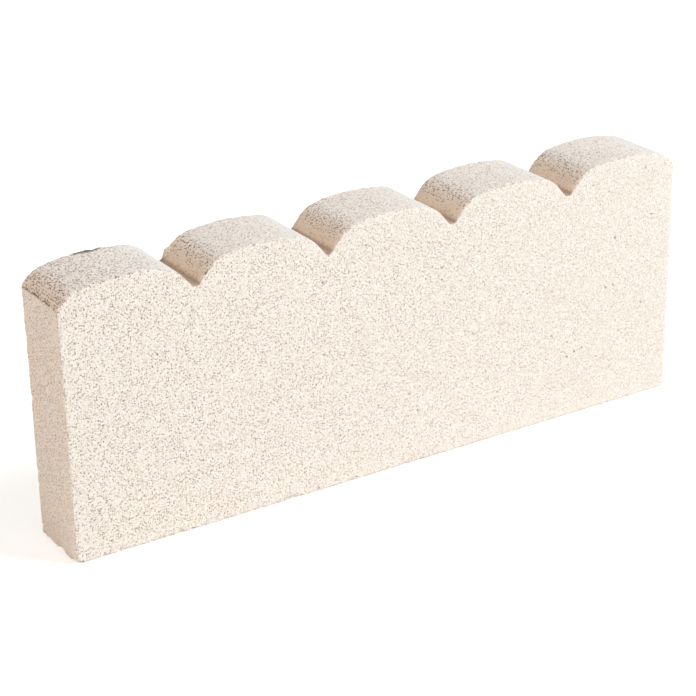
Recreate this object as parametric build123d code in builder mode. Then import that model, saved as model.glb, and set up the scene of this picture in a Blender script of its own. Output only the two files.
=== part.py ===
# Scalloped concrete garden edging: one cast block that stands on its base in a trench
# and butts end to end with the next along a bed or a lawn.
# Millimetres, +Z up, +X along the block, front face towards -Y, origin under the middle of the base.
import os
from math import cos, radians, sin, sqrt

from build123d import *

os.makedirs("parts", exist_ok=True)

# Whole block
LENGTH = 500.0  # end face to end face
HEIGHT = 195.0  # base to the crowns of the scallops
THICKNESS = 55.0  # front face to back face

# Scalloped crest
SCALLOPS = 5  # along the length
END_CROWN = 48.0  # end face to the crown line of the end scallop
CROWN_RADIUS = 160.0  # flat arc over the top of a scallop
SHOULDER_RADIUS = 25.0  # round between the crown and a flank
FLANK_ANGLE = 51.0  # slope of a flank, in degrees from level
NOTCH_DEPTH = 19.0  # crowns down to the notch floors
NOTCH_FLOOR = 4.5  # width of the flat floor between two flanks
NOTCH_ROOT = 2.0  # round in both corners of a notch floor
END_STEP = 4.8  # the crest meets the end faces this much above the notch floors

# Arrises left by the mould
ARRIS = 1.0  # round along every outer edge

# Positions that follow from the sizes above
PITCH = (LENGTH - 2 * END_CROWN) / (SCALLOPS - 1)
NOTCH_Z = HEIGHT - NOTCH_DEPTH
END_Z = NOTCH_Z + END_STEP
FLANK = radians(FLANK_ANGLE)


def flank_top(foot_x, foot_z, crown_x):
    """Point where the flank that rises from a foot meets the crown arc of its scallop."""
    inward = 1 if crown_x > foot_x else -1
    from_x = foot_x - crown_x
    from_z = foot_z - (HEIGHT - CROWN_RADIUS)
    along = inward * cos(FLANK) * from_x + sin(FLANK) * from_z
    inside = CROWN_RADIUS**2 - from_x**2 - from_z**2
    rise = sqrt(along**2 + inside) - along
    return (foot_x + inward * cos(FLANK) * rise, foot_z + sin(FLANK) * rise)


# Feet, tops and crown of each scallop from left to right, as (x, z) points
scallops = []
for i in range(SCALLOPS):
    crown_x = (i - (SCALLOPS - 1) / 2) * PITCH
    left_foot = (crown_x - PITCH / 2 + NOTCH_FLOOR / 2, NOTCH_Z)
    right_foot = (crown_x + PITCH / 2 - NOTCH_FLOOR / 2, NOTCH_Z)
    if i == 0:
        left_foot = (-LENGTH / 2, END_Z)
    if i == SCALLOPS - 1:
        right_foot = (LENGTH / 2, END_Z)
    left_top = flank_top(*left_foot, crown_x)
    right_top = flank_top(*right_foot, crown_x)
    scallops.append((left_foot, left_top, (crown_x, HEIGHT), right_top, right_foot))

with BuildPart() as edging_block:
    # Section seen from the front: base, two ends and the scalloped crest
    with BuildSketch(Plane.XZ) as section:
        with BuildLine():
            first_foot = scallops[0][0]
            last_foot = scallops[-1][4]
            Polyline(first_foot, (-LENGTH / 2, 0), (LENGTH / 2, 0), last_foot)
            for left_foot, left_top, crown, right_top, right_foot in scallops:
                Line(left_foot, left_top)
                ThreePointArc(left_top, crown, right_top)
                Line(right_top, right_foot)
            for scallop, following in zip(scallops, scallops[1:]):
                Line(scallop[4], following[0])
        make_face()

        shoulders = []
        roots = []
        for left_foot, left_top, crown, right_top, right_foot in scallops:
            shoulders += [left_top, right_top]
            roots += [left_foot, right_foot]
        roots = roots[1:-1]
        corners = section.vertices()
        fillet([corners.sort_by_distance(root)[0] for root in roots], NOTCH_ROOT)
        corners = section.vertices()
        fillet([corners.sort_by_distance(shoulder)[0] for shoulder in shoulders], SHOULDER_RADIUS)
    extrude(amount=THICKNESS / 2, both=True)

    # Outline of both faces, and the corners where the ends meet the base and the crest
    outlines = edging_block.faces().filter_by(Axis.Y).edges()
    across = edging_block.edges().filter_by(Axis.Y).group_by(Axis.X)
    fillet(outlines + across[0] + across[-1], ARRIS)

edging_block.part.label = "edging_block"
export_step(edging_block.part, "parts/edging_block.step")
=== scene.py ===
"""Concrete garden edging: a scalloped block of pressed cream concrete, dressed around its solid."""

import math
from functools import partial

import bmesh
import bpy
from bpy.props import FloatProperty, FloatVectorProperty, IntProperty, PointerProperty
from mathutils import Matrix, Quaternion, Vector


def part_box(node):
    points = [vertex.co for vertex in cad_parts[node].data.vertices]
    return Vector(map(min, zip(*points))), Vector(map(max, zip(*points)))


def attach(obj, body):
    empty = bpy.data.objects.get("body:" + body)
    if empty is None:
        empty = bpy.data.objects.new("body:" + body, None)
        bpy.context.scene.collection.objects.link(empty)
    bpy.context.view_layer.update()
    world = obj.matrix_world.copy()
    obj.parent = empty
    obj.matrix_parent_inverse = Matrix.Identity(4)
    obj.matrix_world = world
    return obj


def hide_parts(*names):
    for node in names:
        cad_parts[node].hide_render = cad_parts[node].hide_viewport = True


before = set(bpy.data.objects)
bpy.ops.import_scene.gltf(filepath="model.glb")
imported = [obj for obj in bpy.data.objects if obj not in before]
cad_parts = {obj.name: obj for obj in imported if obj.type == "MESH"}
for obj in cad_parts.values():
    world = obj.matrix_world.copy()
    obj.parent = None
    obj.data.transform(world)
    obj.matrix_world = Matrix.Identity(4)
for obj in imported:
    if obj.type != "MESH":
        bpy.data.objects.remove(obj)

bl_info = {
    "name": "Concrete garden edging",
    "version": (1, 0, 0),
    "blender": (4, 5, 0),
    "location": "3D View > Sidebar > Garden edging",
    "description": "Dresses a scalloped edging block in pressed concrete and stands it in a plain studio",
    "category": "Object",
}

NODE = "edging_block"

# The solid's box, from which every place on the block is worked out
BOX_LOW, BOX_HIGH = (Vector(corner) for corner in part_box(NODE))
LENGTH, THICKNESS, HEIGHT = BOX_HIGH - BOX_LOW
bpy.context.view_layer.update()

MM = 0.001
ARRIS_INSET = 2.1 * MM  # the rays that find the crest are drawn in by half of this at each arris
INSET = 0.08 * MM  # least depth that is taken off, so that the thinned surface stays inside the solid
BASE_RISE = 0.6 * MM  # height over which the relief fades towards the base
NOTCH_Z = HEIGHT - 19 * MM  # floors of the notches
CREASE_Z = HEIGHT - 14.2 * MM  # where the crest meets the ends

# Widths in the concrete's pattern of colours, and the depth of the relief that is too fine for the mesh
FINE_GRAIN = 0.62 * MM
PORE_SPACING = 1.4 * MM
PINHOLE_SPACING = 2.6 * MM
CLOUD_WIDTH = 11 * MM
FINE_RELIEF = 0.07 * MM

# Settings that the block's tree takes as inputs
RELIEF = (
    "spacing",
    "grain_size",
    "grain_relief",
    "pit_spacing",
    "pit_depth",
    "crumb_reach",
    "chip_spacing",
    "chip_reach",
    "crease_width",
    "skin_height",
    "seed",
)

# Chips broken out of the arrises: millimetres from the left end, the front and the base, and the radius
CHIPS = (
    ((0, 0, 0), 4.4),
    ((0, 5, 0), 3.2),
    ((0, 23, 0), 3.4),
    ((0, 27, 0), 3.0),
    ((500, 0, 0), 2.8),
)

# Dark brown marks on the arrises of the crest and in the notches, in the same way: partly painted shadow
# of a broken back arris and of the notch roots, partly dirt
DARK_MARKS = (
    ((30, 54, 194), 1.8),
    ((38, 53, 194.6), 3.0),
    ((42, 53, 194.8), 3.8),
    ((46, 52.6, 195), 4.2),
    ((50, 52.6, 195), 4.2),
    ((54, 53, 194.9), 3.4),
    ((77, 54, 192.3), 2.4),
    ((227.5, 54, 193.4), 3.0),
    ((33, 0.5, 194.2), 1.4),
    ((42.5, 0.5, 194.9), 1.5),
    ((100.5, 53.5, 176.2), 2.4),
    ((106.5, 0.5, 183.1), 2.0),
    ((199, 0.5, 176.2), 2.4),
)

# A crumb of concrete left on the back of the second scallop, in the same way
LUMP = ((104.5, 54, 181.5), 5.0)
LUMP_WAY = Vector((-0.78, 0, 0.63)) * 0.55

# Kinds of nodes that the block's tree and the materials use most
MATH = "ShaderNodeMath"
VECTOR = "ShaderNodeVectorMath"
SEPARATE = "ShaderNodeSeparateXYZ"
NOISE = "ShaderNodeTexNoise"
CELLS = "ShaderNodeTexVoronoi"
RANGE = "ShaderNodeMapRange"
MIX = "ShaderNodeMix"

# What turns a mix node to colours: sockets 6 and 7 take the two colours and output 2 gives the mix
OF_COLOURS = {"output": 2, "data_type": "RGBA"}


def linear(hex_colour):
    """Scene-linear red, green and blue of an sRGB hex colour."""
    channels = [int(hex_colour[i : i + 2], 16) / 255 for i in (0, 2, 4)]
    return [c / 12.92 if c <= 0.04045 else ((c + 0.055) / 1.055) ** 2.4 for c in channels]


def add(tree, kind, *values, named=None, output=0, **settings):
    """Add a node with its settings, fill its inputs by place and by name, and return one output."""
    node = tree.nodes.new(kind)
    for name, value in settings.items():
        setattr(node, name, value)
    for key, value in [*enumerate(values), *(named or {}).items()]:
        if isinstance(value, bpy.types.NodeSocket):
            tree.links.new(value, node.inputs[key])
        else:
            node.inputs[key].default_value = value
    return node.outputs[output]


class BlockSettings(bpy.types.PropertyGroup):
    """Relief and colours of the pressed concrete."""

    spacing: FloatProperty(
        name="Grid spacing",
        description="Distance between the points of the surface before it is thinned",
        default=0.8 * MM,
        unit="LENGTH",
        precision=5,
    )
    grain_size: FloatProperty(
        name="Grain size",
        description="Width of the sand grains in the surface",
        default=1.5 * MM,
        unit="LENGTH",
        precision=5,
    )
    grain_relief: FloatProperty(
        name="Grain relief",
        description="Depth between the tops of the grains and the paste around them",
        default=0.15 * MM,
        unit="LENGTH",
        precision=5,
    )
    pit_spacing: FloatProperty(
        name="Pit spacing",
        description="Mean distance between the open pits left by trapped air",
        default=7.0 * MM,
        unit="LENGTH",
        precision=5,
    )
    pit_depth: FloatProperty(
        name="Pit depth",
        description="Depth of the deepest pits",
        default=0.8 * MM,
        unit="LENGTH",
        precision=5,
    )
    crumb_reach: FloatProperty(
        name="Crumb reach",
        description="How far lost grains eat into an arris",
        default=1.4 * MM,
        unit="LENGTH",
        precision=5,
    )
    chip_spacing: FloatProperty(
        name="Chip spacing",
        description="Size of the pattern that breaks chips out of an arris",
        default=7.0 * MM,
        unit="LENGTH",
        precision=5,
    )
    chip_reach: FloatProperty(
        name="Chip reach",
        description="How far the largest chips eat into an arris",
        default=2.0 * MM,
        unit="LENGTH",
        precision=5,
    )
    crease_width: FloatProperty(
        name="Crease width",
        description="Reach of the open line of pores where the crest meets an end",
        default=1.3 * MM,
        unit="LENGTH",
        precision=5,
    )
    # Painted shade: the band this sets up low in the notches takes the warm tan that stands in for the
    # shade there
    skin_height: FloatProperty(
        name="Skin height",
        description="How high the smooth skin reaches above the floors of the notches",
        default=7.5 * MM,
        unit="LENGTH",
        precision=5,
    )
    seed: IntProperty(
        name="Seed",
        description="Which pattern of grains, pits and crumbled edges the block gets",
        default=7,
    )
    triangles: IntProperty(
        name="Triangles",
        description="Number of triangles that the thinned surface keeps",
        default=190000,
    )
    cream: FloatVectorProperty(
        name="Paste",
        description="Colour of the white cement paste and the palest grains",
        subtype="COLOR",
        default=linear("FBF6EE"),
    )
    sand: FloatVectorProperty(
        name="Sand",
        description="Colour of the browner grains",
        subtype="COLOR",
        default=linear("E0CDBB"),
    )
    skin: FloatVectorProperty(
        name="Cast skin",
        description="Colour of the smooth skin on the ends",
        subtype="COLOR",
        default=linear("F7E8DC"),
    )
    # Painted shade: this warm tan stands in for the shade and warm bounced light low in the notches and on
    # the sides leaning away from the key light
    tan: FloatVectorProperty(
        name="Notch skin",
        description="Colour of the smooth skin low in the notches",
        subtype="COLOR",
        default=linear("FBE2CC"),
    )
    # Painted light: a flat pale grey on the sides that face the key light, standing in for the washed-out
    # look that light gives them
    pale: FloatVectorProperty(
        name="Pale skin",
        description="Colour of the smooth skin on the right of the scallops",
        subtype="COLOR",
        default=linear("E6E2DB"),
    )
    # Painted light: a grey tint on the crest that stands in for the cool sky light falling on its top
    sky_tint: FloatVectorProperty(
        name="Weathered crest",
        description="Tint that the weather gives the crest",
        subtype="COLOR",
        default=linear("FBFBFD"),
    )
    # Painted shade: the brown in the open pores stands for the shade inside them along with the dirt they
    # hold
    pore: FloatVectorProperty(
        name="Pore",
        description="Colour in the open pores",
        subtype="COLOR",
        default=linear("80481C"),
    )
    # Painted shade: this dark colour stands for the shade deep in the pinholes and on the dark marks,
    # along with dirt
    hole: FloatVectorProperty(
        name="Pinhole",
        description="Colour deep in the pinholes and in the stains",
        subtype="COLOR",
        default=linear("3A2210"),
    )


class StageSettings(bpy.types.PropertyGroup):
    """Camera, light and floor."""

    azimuth: FloatProperty(
        name="Camera azimuth",
        description="Direction that the camera looks in, turned from the front of the block",
        subtype="ANGLE",
        default=math.radians(-31.712),
    )
    elevation: FloatProperty(
        name="Camera elevation",
        description="Height of the camera above the horizon",
        subtype="ANGLE",
        default=math.radians(23.719),
    )
    roll: FloatProperty(
        name="Camera roll",
        description="Turn of the camera about its own axis",
        subtype="ANGLE",
        default=math.radians(-1.134),
    )
    target: FloatVectorProperty(
        name="Camera target",
        description="Point of the block in the middle of the picture",
        subtype="TRANSLATION",
        default=(-17.02 * MM, 4.87 * MM, 86.57 * MM),
        precision=5,
    )
    distance: FloatProperty(
        name="Camera distance",
        description="From the camera to the point it looks at",
        default=1454.65 * MM,
        unit="LENGTH",
    )
    lens: FloatProperty(
        name="Lens",
        description="Focal length on a sensor 36 mm wide",
        default=106.24,
        unit="CAMERA",
    )
    key_power: FloatProperty(
        name="Key light",
        description="Power of the soft light at the right of the camera",
        default=372.0,
        unit="POWER",
    )
    fill_power: FloatProperty(
        name="Fill light",
        description="Power of the soft light low at the left",
        default=3.2,
        unit="POWER",
    )
    sky_strength: FloatProperty(
        name="Room light",
        description="Level of the even light from the room",
        default=0.52,
    )


def cast_block_tree(settings, material):
    """Geometry Nodes tree that lays a fine grid over the solid and wears it like pressed concrete."""
    tree = bpy.data.node_groups.new("Pressed concrete block", "GeometryNodeTree")
    new = partial(add, tree)
    tree.interface.new_socket(name="Block", in_out="OUTPUT", socket_type="NodeSocketGeometry")
    tree.interface.new_socket(name="Solid", in_out="INPUT", socket_type="NodeSocketGeometry")
    for name in RELIEF:
        label = settings.bl_rna.properties[name].name
        tree.interface.new_socket(name=label, in_out="INPUT", socket_type="NodeSocketFloat")
    given = tree.nodes.new("NodeGroupInput").outputs
    solid = given["Solid"]

    # A box of even squares around the solid
    low = new("GeometryNodeBoundBox", solid, output="Min")
    high = low.node.outputs["Max"]
    extent = new(VECTOR, high, low, operation="SUBTRACT")
    centre = new(VECTOR, new(VECTOR, high, low, operation="ADD"), (0.5, 0.5, 0.5), operation="MULTIPLY")
    sides = new(SEPARATE, extent).node.outputs
    counts = []
    for side in sides:
        squares = new(MATH, side, given["Grid spacing"], operation="DIVIDE")
        counts.append(new(MATH, squares, 1.5, operation="ADD"))
    block = new("GeometryNodeMeshCube", extent, *counts)
    block = new("GeometryNodeSetPosition", block, named={"Offset": centre})

    # The box's rows sink to the crest, found straight below each point, and land on the solid's faces
    here = new("GeometryNodeInputPosition")
    x, y, z = new(SEPARATE, here).node.outputs
    over_x = new(MATH, x, 1 - ARRIS_INSET / LENGTH, operation="MULTIPLY")
    over_y = new(MATH, y, 1 - ARRIS_INSET / THICKNESS, operation="MULTIPLY")
    over = new("ShaderNodeCombineXYZ", over_x, over_y, 2 * HEIGHT)
    ray = {"Source Position": over, "Ray Direction": (0, 0, -1), "Ray Length": 3 * HEIGHT}
    crest_point = new("GeometryNodeRaycast", solid, named=ray, output="Hit Position")
    crest = new(SEPARATE, crest_point, output="Z")
    share = new(MATH, z, sides["Z"], operation="DIVIDE")
    sunk = new("ShaderNodeCombineXYZ", x, y, new(MATH, share, crest, operation="MULTIPLY"))
    block = new("GeometryNodeSetPosition", block, named={"Position": sunk})
    landed = new("GeometryNodeProximity", solid, named={"Sample Position": here}, target_element="FACES")
    block = new("GeometryNodeSetPosition", block, named={"Position": landed})

    # Distance to the nearest arris: the second smallest distance to a side of the block
    from_end = new(MATH, LENGTH / 2, new(MATH, x, operation="ABSOLUTE"), operation="SUBTRACT")
    from_face = new(MATH, THICKNESS / 2, new(MATH, y, operation="ABSOLUTE"), operation="SUBTRACT")
    from_crest = new(MATH, crest, z, operation="SUBTRACT")
    near_side = new(MATH, from_end, from_face, operation="MINIMUM")
    far_side = new(MATH, from_end, from_face, operation="MAXIMUM")
    near_level = new(MATH, z, from_crest, operation="MINIMUM")
    far_level = new(MATH, z, from_crest, operation="MAXIMUM")
    second = new(MATH, near_side, near_level, operation="MAXIMUM")
    third = new(MATH, far_side, far_level, operation="MINIMUM")
    from_arris = new(MATH, second, third, operation="MINIMUM")

    # Grains and pits, which the flat base doesn't show
    place = new(VECTOR, here, new("ShaderNodeCombineXYZ", given["Seed"]), operation="ADD")
    grain_scale = new(MATH, 1.0, given["Grain size"], operation="DIVIDE")
    grain = new(NOISE, place, named={"Scale": grain_scale, "Detail": 0.0})
    grain = new(RANGE, grain, 0.25, 0.75, INSET, given["Grain relief"])
    pit_scale = new(MATH, 1.0, given["Pit spacing"], operation="DIVIDE")
    pit_distance = new(CELLS, place, named={"Scale": pit_scale}, output="Distance")
    chance = new(SEPARATE, pit_distance.node.outputs["Color"])
    pit_width = new(MATH, new(MATH, chance, 2.0, operation="POWER"), 0.16, operation="MULTIPLY")
    pit_floor = new(MATH, pit_width, 0.4, operation="MULTIPLY")
    pit = new(RANGE, pit_distance, pit_floor, pit_width, given["Pit depth"], 0.0)
    above_base = new(RANGE, z, 0.0, BASE_RISE, 0.1, 1.0)
    skin_depth = new(MATH, new(MATH, grain, pit, operation="ADD"), above_base, operation="MULTIPLY")

    # Grains lost all along the arrises, but few at the notches, and chips, most of them low on the left
    crumb_noise = new(NOISE, place, named={"Scale": grain_scale, "Detail": 1.0})
    crumb = new(RANGE, crumb_noise, 0.35, 0.72, 0.0, given["Crumb reach"])
    chip_scale = new(MATH, 1.0, given["Chip spacing"], operation="DIVIDE")
    chip_noise = new(NOISE, place, named={"Scale": chip_scale})
    chip = new(RANGE, chip_noise, 0.5, 0.72, 0.0, given["Chip reach"])
    broken_most = new(RANGE, x, -LENGTH / 4, LENGTH / 4, 2.0, 0.5)
    chip = new(MATH, chip, new(RANGE, z, 0.0, 60 * MM, broken_most, 1.0), operation="MULTIPLY")
    reach = new(MATH, crumb, chip, operation="ADD")
    calm = new(RANGE, crest, NOTCH_Z, NOTCH_Z + 6 * MM, 0.35, 1.0)
    calm = new(MATH, calm, new(RANGE, from_crest, 20 * MM, 60 * MM), operation="MAXIMUM")
    reach = new(MATH, reach, calm, operation="MULTIPLY")
    bite = new(MATH, reach, from_arris, operation="SUBTRACT")

    def distance_to(spot):
        """Distance to a spot given in millimetres from the left end, the front and the base."""
        point = BOX_LOW + Vector(spot) * MM
        return new(VECTOR, here, point, operation="DISTANCE", output="Value")

    # The open line of pores where the crest meets an end, and the chips
    crease_width = new(RANGE, crumb_noise, 0.38, 0.6, 0.0, given["Crease width"])
    wave = new(RANGE, chip_noise, 0.3, 0.7, CREASE_Z - 1.5 * MM, CREASE_Z + 1.5 * MM)
    from_crease = new(MATH, new(MATH, z, wave, operation="SUBTRACT"), operation="ABSOLUTE")
    from_crease = new(MATH, from_crease, from_end, operation="MAXIMUM")
    crease = new(MATH, crease_width, from_crease, operation="SUBTRACT")
    bite = new(MATH, bite, crease, operation="MAXIMUM")
    for spot, radius in CHIPS:
        broken = new(MATH, radius * MM, distance_to(spot), operation="SUBTRACT")
        bite = new(MATH, bite, broken, operation="MAXIMUM")
    bite = new(MATH, bite, 0.0, operation="MAXIMUM")

    # Dirt and painted shade in the pits, in the crease and on the dark marks, and painted shade low in the
    # notches
    grime_and_shade = new(MATH, pit, crease, operation="MAXIMUM")
    for spot, radius in DARK_MARKS:
        spread = new(RANGE, crumb_noise, 0.35, 0.65, 0.5 * radius * MM, radius * MM)
        dark_mark = new(MATH, spread, distance_to(spot), operation="SUBTRACT")
        grime_and_shade = new(MATH, grime_and_shade, dark_mark, operation="MAXIMUM")
    normal = new("GeometryNodeInputNormal")
    lean, _, rise = new(SEPARATE, normal).node.outputs
    near_crest = new(RANGE, rise, 0.3, 0.6)
    off_ends = new(RANGE, from_end, 15 * MM, 20 * MM)
    between_ends = new(MATH, near_crest, off_ends, operation="MULTIPLY")
    # Painted shade with some dirt: darker towards the floors of the notches, where shade gathers in their
    # roots
    root = new(RANGE, z, NOTCH_Z + 0.5 * MM, NOTCH_Z + 2.5 * MM, 0.5 * MM, 0.0)
    grime_and_shade = new(MATH, grime_and_shade, new(MATH, root, between_ends, operation="MULTIPLY"), operation="MAXIMUM")

    # All of this is taken off the solid's faces, and only the lump is left on
    depth = new(MATH, skin_depth, bite, operation="ADD")
    inward = new(MATH, depth, -1.0, operation="MULTIPLY")
    offset = new(VECTOR, normal, named={"Scale": inward}, operation="SCALE")
    spot, radius = LUMP
    lump = new(MATH, radius * MM, distance_to(spot), operation="SUBTRACT")
    lump = new(MATH, lump, 0.0, operation="MAXIMUM")
    lump = new(VECTOR, LUMP_WAY, named={"Scale": lump}, operation="SCALE")
    offset = new(VECTOR, offset, lump, operation="ADD")

    # Which faces are ends and crest, for the material to read
    on_end = new(MATH, from_end, 0.25 * MM, operation="LESS_THAN")
    on_crest = new(MATH, rise, 0.35, operation="GREATER_THAN")
    for name, value in {"end": on_end, "crest": on_crest}.items():
        mark = {"Name": name, "Value": value}
        block = new("GeometryNodeStoreNamedAttribute", block, named=mark, domain="FACE")

    # How far a point is in a notch, on a rim, on a leaning side of the crest and in a hollow, where dirt
    # and painted shade darken it
    ragged = new(MATH, z, new(RANGE, chip_noise, 0.3, 0.7, -3 * MM, 3 * MM), operation="ADD")
    notch_top = new(MATH, given["Skin height"], NOTCH_Z, operation="ADD")
    over_notch = new(MATH, ragged, notch_top, operation="SUBTRACT")
    in_notch = new(RANGE, over_notch, -6 * MM, 6 * MM, 1.0, 0.0)
    in_notch = new(MATH, in_notch, between_ends, operation="MULTIPLY")
    rim = new(RANGE, from_arris, 1 * MM, 11 * MM, 1.0, 0.0)
    lean = new(MATH, lean, near_crest, operation="MULTIPLY")
    hollow = new(RANGE, grime_and_shade, 0.0, 0.8 * MM, 0.0, 0.85)
    marks = {"notch": in_notch, "rim": rim, "lean": lean, "hollow": hollow}
    for name, value in marks.items():
        block = new("GeometryNodeStoreNamedAttribute", block, named={"Name": name, "Value": value})
    block = new("GeometryNodeSetPosition", block, named={"Offset": offset})

    block = new("GeometryNodeRealizeInstances", block)
    block = new("GeometryNodeSetMaterial", block, named={"Material": material})
    tree.links.new(block, tree.nodes.new("NodeGroupOutput").inputs["Block"])
    return tree


def pressed_concrete(settings):
    """Pressed concrete of white cement and sharp sand: matt cream grains packed close, with open pores."""
    material = bpy.data.materials.new("pressed_concrete")
    material.use_nodes = True
    tree = material.node_tree
    new = partial(add, tree)
    shader = tree.nodes["Principled BSDF"]
    shader.inputs["Roughness"].default_value = 0.92
    shader.inputs["IOR"].default_value = 1.5
    shader.inputs["Specular IOR Level"].default_value = 0.1
    cream, sand, skin, tan, pale, sky_tint, pore, hole = (
        (*getattr(settings, name), 1.0)
        for name in ("cream", "sand", "skin", "tan", "pale", "sky_tint", "pore", "hole")
    )
    place = new("ShaderNodeTexCoord", output="Object")
    on_end, on_crest, in_notch, rim, lean, hollow = (
        new("ShaderNodeAttribute", output="Fac", attribute_name=name)
        for name in ("end", "crest", "notch", "rim", "lean", "hollow")
    )

    # How open the surface is: less to the right, on the smoothed faces and at the rims, more on the
    # shoulders. The extra dark pores on the shoulders and towards the left paint the shade that grazing
    # light leaves in the pores there.
    shoulder = new(RANGE, lean, -0.15, -0.6)
    # Painted light: the sides facing the key light are left with fewer pores and painted a flat pale grey
    # for their washed-out look
    facing_key = new(RANGE, lean, 0.05, 0.35)
    smooth = new(MATH, new(RANGE, in_notch, 0.3, 0.6), facing_key, operation="MAXIMUM")
    smooth = new(MATH, new(RANGE, lean, -0.55, -0.75, 0.0, 0.6), smooth, operation="MAXIMUM")
    along, _, above = new(SEPARATE, place).node.outputs
    low_end = new(MATH, new(RANGE, above, 0.0, 80 * MM, 1.0, 0.0), on_end, operation="MULTIPLY")
    pores_and_grazing_shade = new(RANGE, along, -LENGTH / 2, LENGTH / 2, 1.12, 0.5)
    crest_pores_and_grazing_shade = new(RANGE, along, -LENGTH / 2, -LENGTH / 4, 1.95, 1.0)
    pores_and_grazing_shade = new(MIX, on_crest, named={2: pores_and_grazing_shade, 3: crest_pores_and_grazing_shade})
    for mark, share in ((on_end, -0.1), (low_end, -0.4), (rim, -0.25), (shoulder, 1.45)):
        pores_and_grazing_shade = new(MATH, mark, share, pores_and_grazing_shade, operation="MULTIPLY_ADD")
    left_open = new(RANGE, smooth, named={"To Min": 1.0, "To Max": 0.25})
    pores_and_grazing_shade = new(MATH, pores_and_grazing_shade, left_open, operation="MULTIPLY")

    # Grains of sand packed close, pale to brown, under a smoother skin on the ends and smoothed low in the
    # notches; painted light tints the crest and the sides facing the key light, and painted shade turns
    # the notches and the sides leaning away from it tan
    grain = new(CELLS, place, named={"Scale": 1 / FINE_GRAIN}, output="Color")
    shade = new(MATH, new(SEPARATE, grain), 1.5, operation="POWER")
    left_brown = new(RANGE, smooth, named={"To Min": 0.9, "To Max": 0.4})
    shade = new(MATH, shade, left_brown, operation="MULTIPLY")
    colour = new(MIX, shade, named={6: cream, 7: sand}, **OF_COLOURS)
    closed = new(MATH, on_end, 0.65, operation="MULTIPLY")
    colour = new(MIX, closed, named={6: colour, 7: skin}, **OF_COLOURS)
    # Painted light: the crest is tinted greyer, standing in for the cool sky light on its top
    colour = new(MIX, on_crest, named={6: colour, 7: sky_tint}, blend_type="MULTIPLY", **OF_COLOURS)
    # Painted light: the sides facing the key light get the flat pale grey that stands in for how the light
    # washes them out
    colour = new(MIX, facing_key, named={6: colour, 7: pale}, **OF_COLOURS)
    cloud = new(NOISE, place, named={"Scale": 1 / CLOUD_WIDTH, "Detail": 2.0})
    cloud = new(MATH, new(RANGE, cloud, 0.4, 0.7, 0.0, 0.45), on_end, operation="MULTIPLY")
    # Painted shade: the notch flanks and the sides leaning away from the key light turn tan for their warm
    # shade; the cloud on the ends is the block's own mottling
    warm_shade_and_mottle = new(MATH, new(RANGE, lean, -0.35, -0.8, 0.0, 0.7), in_notch, operation="MAXIMUM")
    warm_shade_and_mottle = new(MATH, warm_shade_and_mottle, cloud, operation="MAXIMUM")
    colour = new(MIX, warm_shade_and_mottle, named={6: colour, 7: tan}, **OF_COLOURS)

    # Open pores where a grain is missing, and a few small dark pinholes, both darkened with painted shade
    # along with dirt
    centre = new(CELLS, place, named={"Scale": 1 / PORE_SPACING, "Randomness": 0.9}, output="Distance")
    pores = new(SEPARATE, centre.node.outputs["Color"])
    pores = new(MATH, pores, new(RANGE, centre, 0.2, 0.45, 1.0, 0.0), operation="MULTIPLY")
    pores = new(MATH, pores, pores_and_grazing_shade, operation="MULTIPLY")
    colour = new(MIX, pores, named={6: colour, 7: pore}, **OF_COLOURS)
    centre = new(CELLS, place, named={"Scale": 1 / PINHOLE_SPACING}, output="Distance")
    pinholes = new(RANGE, new(SEPARATE, centre.node.outputs["Color"]), 0.3, 0.7)
    pinholes = new(MATH, pinholes, new(RANGE, centre, 0.13, 0.19, 1.0, 0.0), operation="MULTIPLY")
    pinholes = new(MATH, pinholes, pores_and_grazing_shade, operation="MULTIPLY")
    # The hollows, the crease and the dark marks take the dark pinhole colour: dirt and painted shade
    pinholes = new(MATH, pinholes, hollow, operation="MAXIMUM")
    colour = new(MIX, pinholes, named={6: colour, 7: hole}, **OF_COLOURS)
    tree.links.new(colour, shader.inputs["Base Color"])

    # Relief of grains and pores, too fine for the mesh
    holes = new(MATH, pores, pinholes, operation="MAXIMUM")
    height = new(MATH, shade, 0.3, holes, operation="MULTIPLY_ADD")
    bump = new("ShaderNodeBump", named={"Strength": 1.0, "Distance": -FINE_RELIEF, "Height": height})
    tree.links.new(bump, shader.inputs["Normal"])
    return material


class EDGING_OT_cast_block(bpy.types.Operator):
    """Make the block's worn, sandy surface around its solid"""

    bl_idname = "edging.cast_block"
    bl_label = "Cast block"

    def execute(self, context):
        settings = context.scene.edging_block
        material = pressed_concrete(settings)

        merged = bmesh.new()
        merged.from_mesh(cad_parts[NODE].data)
        bmesh.ops.remove_doubles(merged, verts=merged.verts, dist=0.01 * MM)
        solid = bpy.data.meshes.new("block_solid")
        merged.to_mesh(solid)
        merged.free()

        former = bpy.data.objects.new("block_former", solid)
        context.scene.collection.objects.link(former)
        worn = former.modifiers.new("Pressed concrete", "NODES")
        worn.node_group = cast_block_tree(settings, material)
        for name in RELIEF:
            label = settings.bl_rna.properties[name].name
            worn[worn.node_group.interface.items_tree[label].identifier] = float(getattr(settings, name))
        box_area = 2 * (LENGTH * THICKNESS + LENGTH * HEIGHT + THICKNESS * HEIGHT)
        fine_triangles = 2 * box_area / settings.spacing**2
        thinned = former.modifiers.new("Fewer triangles", "DECIMATE")
        thinned.ratio = settings.triangles / fine_triangles
        evaluated = former.evaluated_get(context.evaluated_depsgraph_get())
        mesh = bpy.data.meshes.new_from_object(evaluated)
        bpy.data.objects.remove(former)
        mesh.name = "cast_block"
        mesh.shade_smooth()
        mesh.set_sharp_from_angle(angle=math.radians(45))

        block = bpy.data.objects.new("cast_block", mesh)
        context.scene.collection.objects.link(block)
        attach(block, "root")
        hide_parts(NODE)
        return {"FINISHED"}


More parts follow.
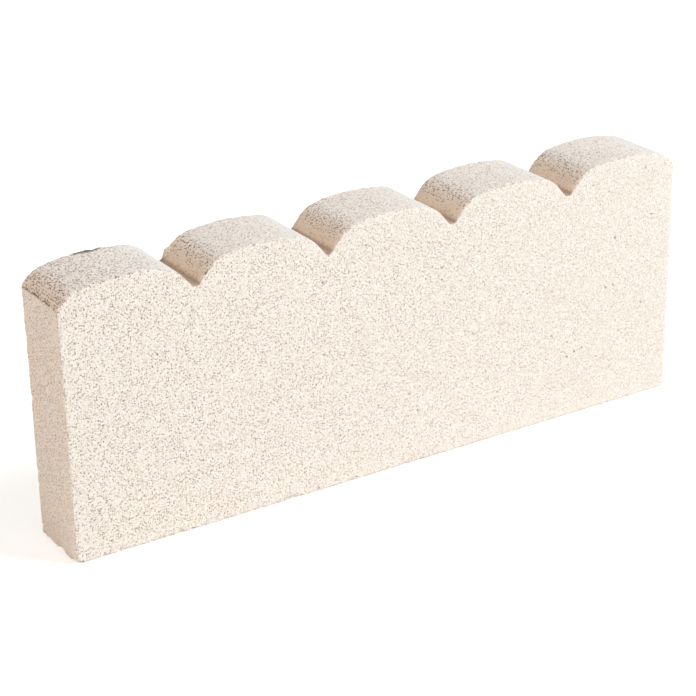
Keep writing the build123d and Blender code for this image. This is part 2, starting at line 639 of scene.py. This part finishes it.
class EDGING_OT_stage(bpy.types.Operator):
    """Set up the pale floor, the soft light and the camera"""

    bl_idname = "edging.stage"
    bl_label = "Stage"

    def execute(self, context):
        scene = context.scene
        settings = scene.edging_stage
        scene.view_settings.view_transform = "Standard"

        # Camera
        camera = bpy.data.objects.new("camera", bpy.data.cameras.new("camera"))
        scene.collection.objects.link(camera)
        camera.data.lens = settings.lens
        camera.data.sensor_width = 36
        level = math.cos(settings.elevation)
        ahead = Vector(
            (
                -math.sin(settings.azimuth) * level,
                math.cos(settings.azimuth) * level,
                -math.sin(settings.elevation),
            )
        )
        camera.location = Vector(settings.target) - settings.distance * ahead
        camera.rotation_mode = "QUATERNION"
        roll = Quaternion((0, 0, 1), settings.roll)
        camera.rotation_quaternion = ahead.to_track_quat("-Z", "Y") @ roll
        scene.camera = camera

        # Floor: white paper that keeps the block's shadow
        floor_mesh = bpy.data.meshes.new("floor")
        reach = 6.0
        corners = [(-reach, -reach, 0), (reach, -reach, 0), (reach, reach, 0), (-reach, reach, 0)]
        floor_mesh.from_pydata(corners, [], [(0, 1, 2, 3)])
        floor = bpy.data.objects.new("floor", floor_mesh)
        scene.collection.objects.link(floor)
        paper = bpy.data.materials.new("white_paper")
        paper.use_nodes = True
        tree = paper.node_tree
        shader = tree.nodes["Principled BSDF"]
        shader.inputs["Base Color"].default_value = (*linear("F4F4F2"), 1.0)
        shader.inputs["Roughness"].default_value = 0.9
        shader.inputs["Emission Color"].default_value = (1, 1, 1, 1)
        seen = add(tree, "ShaderNodeLightPath", output="Is Camera Ray")
        lift = add(tree, MATH, seen, 0.45, operation="MULTIPLY")
        tree.links.new(lift, shader.inputs["Emission Strength"])
        floor_mesh.materials.append(paper)

        # Even room light, seen by the camera as white
        world = bpy.data.worlds.new("studio")
        scene.world = world
        world.use_nodes = True
        tree = world.node_tree
        background = tree.nodes["Background"]
        rays = add(tree, "ShaderNodeLightPath").node.outputs
        seen = add(tree, MATH, rays["Is Camera Ray"], rays["Is Glossy Ray"], operation="MAXIMUM")
        seen = add(tree, MATH, seen, rays["Is Transmission Ray"], operation="MAXIMUM")
        level = add(tree, RANGE, seen, named={"To Min": settings.sky_strength, "To Max": 1.0})
        tints = {6: (*linear("FFFBF5"), 1.0), 7: (1, 1, 1, 1)}
        tint = add(tree, MIX, seen, named=tints, **OF_COLOURS)
        tree.links.new(tint, background.inputs["Color"])
        tree.links.new(level, background.inputs["Strength"])

        # Soft key light at the right of the camera, and a weak warm fill low at the left
        lamps = {
            "key": (settings.key_power, 2.7, (4.0, -3.12, 4.5), "F1F8FF"),
            "fill": (settings.fill_power, 0.8, (-1.6, -0.35, 0.3), "FFEEDD"),
        }
        for name, (power, size, place, colour) in lamps.items():
            lamp = bpy.data.lights.new(name, "AREA")
            lamp.shape = "SQUARE"
            lamp.size = size
            lamp.energy = power
            lamp.color = linear(colour)
            light = bpy.data.objects.new(name, lamp)
            scene.collection.objects.link(light)
            light.location = place
            light.rotation_mode = "QUATERNION"
            aim = Vector((0, 0, HEIGHT / 2)) - light.location
            light.rotation_quaternion = aim.to_track_quat("-Z", "Y")
        return {"FINISHED"}


class EDGING_PT_panel(bpy.types.Panel):
    """Lists the steps that dress the block"""

    bl_idname = "EDGING_PT_panel"
    bl_label = "Garden edging"
    bl_space_type = "VIEW_3D"
    bl_region_type = "UI"
    bl_category = "Garden edging"

    def draw(self, context):
        layout = self.layout
        for step in (EDGING_OT_cast_block, EDGING_OT_stage):
            layout.operator(step.bl_idname)


CLASSES = (BlockSettings, StageSettings, EDGING_OT_cast_block, EDGING_OT_stage, EDGING_PT_panel)


def register():
    for cls in CLASSES:
        bpy.utils.register_class(cls)
    bpy.types.Scene.edging_block = PointerProperty(type=BlockSettings)
    bpy.types.Scene.edging_stage = PointerProperty(type=StageSettings)


def unregister():
    del bpy.types.Scene.edging_stage
    del bpy.types.Scene.edging_block
    for cls in reversed(CLASSES):
        bpy.utils.unregister_class(cls)


def main():
    register()
    bpy.ops.edging.cast_block()
    bpy.ops.edging.stage()


if __name__ == "__main__":
    main()
